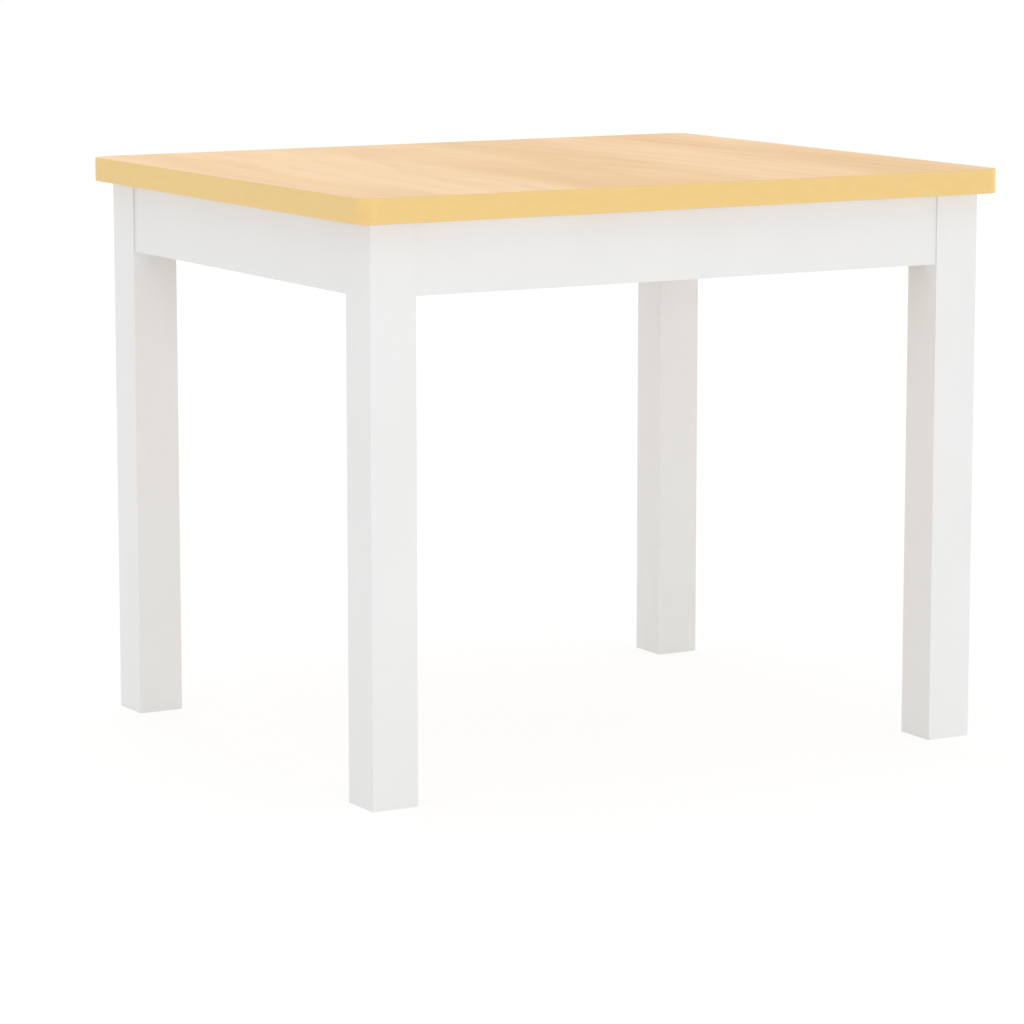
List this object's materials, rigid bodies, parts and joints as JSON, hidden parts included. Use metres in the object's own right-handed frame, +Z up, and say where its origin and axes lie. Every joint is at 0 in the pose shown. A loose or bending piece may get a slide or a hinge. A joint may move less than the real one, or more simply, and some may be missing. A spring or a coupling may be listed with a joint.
{
  "type": "kids table",
  "caption": "Low rectangular children's table: a beech-look laminated top with a plain banded edge on square white legs and a white apron frame.",
  "frame": {"origin": "on the floor, under the middle of the table top", "axes": "+X to the right along the 600 mm side, +Y to the rear along the 500 mm side, +Z up; the front faces -Y"},
  "size_m": [0.6, 0.5, 0.48],
  "materials": {
    "beech_laminate": "pale beech decor laminate, satin, grain from front to rear",
    "edge_band": "plain yellow-beige edge band, satin",
    "fibreboard": "raw fibreboard, hidden",
    "white_lacquer": "white lacquered fibreboard, satin",
    "zinc_steel": "bright zinc plate"
  },
  "bodies": {
    "root": {"top_core": "fibreboard", "top_laminate": "beech_laminate", "underside_laminate": "beech_laminate", "edge_band": "edge_band", "leg_front_left": "white_lacquer", "leg_front_right": "white_lacquer", "leg_rear_left": "white_lacquer", "leg_rear_right": "white_lacquer", "apron_front": "white_lacquer", "apron_rear": "white_lacquer", "apron_left": "white_lacquer", "apron_right": "white_lacquer", "corner_plate_front_left": "zinc_steel", "corner_plate_front_right": "zinc_steel", "corner_plate_rear_left": "zinc_steel", "corner_plate_rear_right": "zinc_steel", "hanger_bolts": "zinc_steel", "flat_washers": "zinc_steel", "spring_washers": "zinc_steel", "hex_nuts": "zinc_steel", "plate_screws": "zinc_steel", "top_bracket_front_left": "zinc_steel", "top_bracket_front_right": "zinc_steel", "top_bracket_rear_left": "zinc_steel", "top_bracket_rear_right": "zinc_steel", "top_bracket_left": "zinc_steel", "top_bracket_right": "zinc_steel", "bracket_apron_screws": "zinc_steel", "bracket_top_screws": "zinc_steel"}
  },
  "joints": []
}
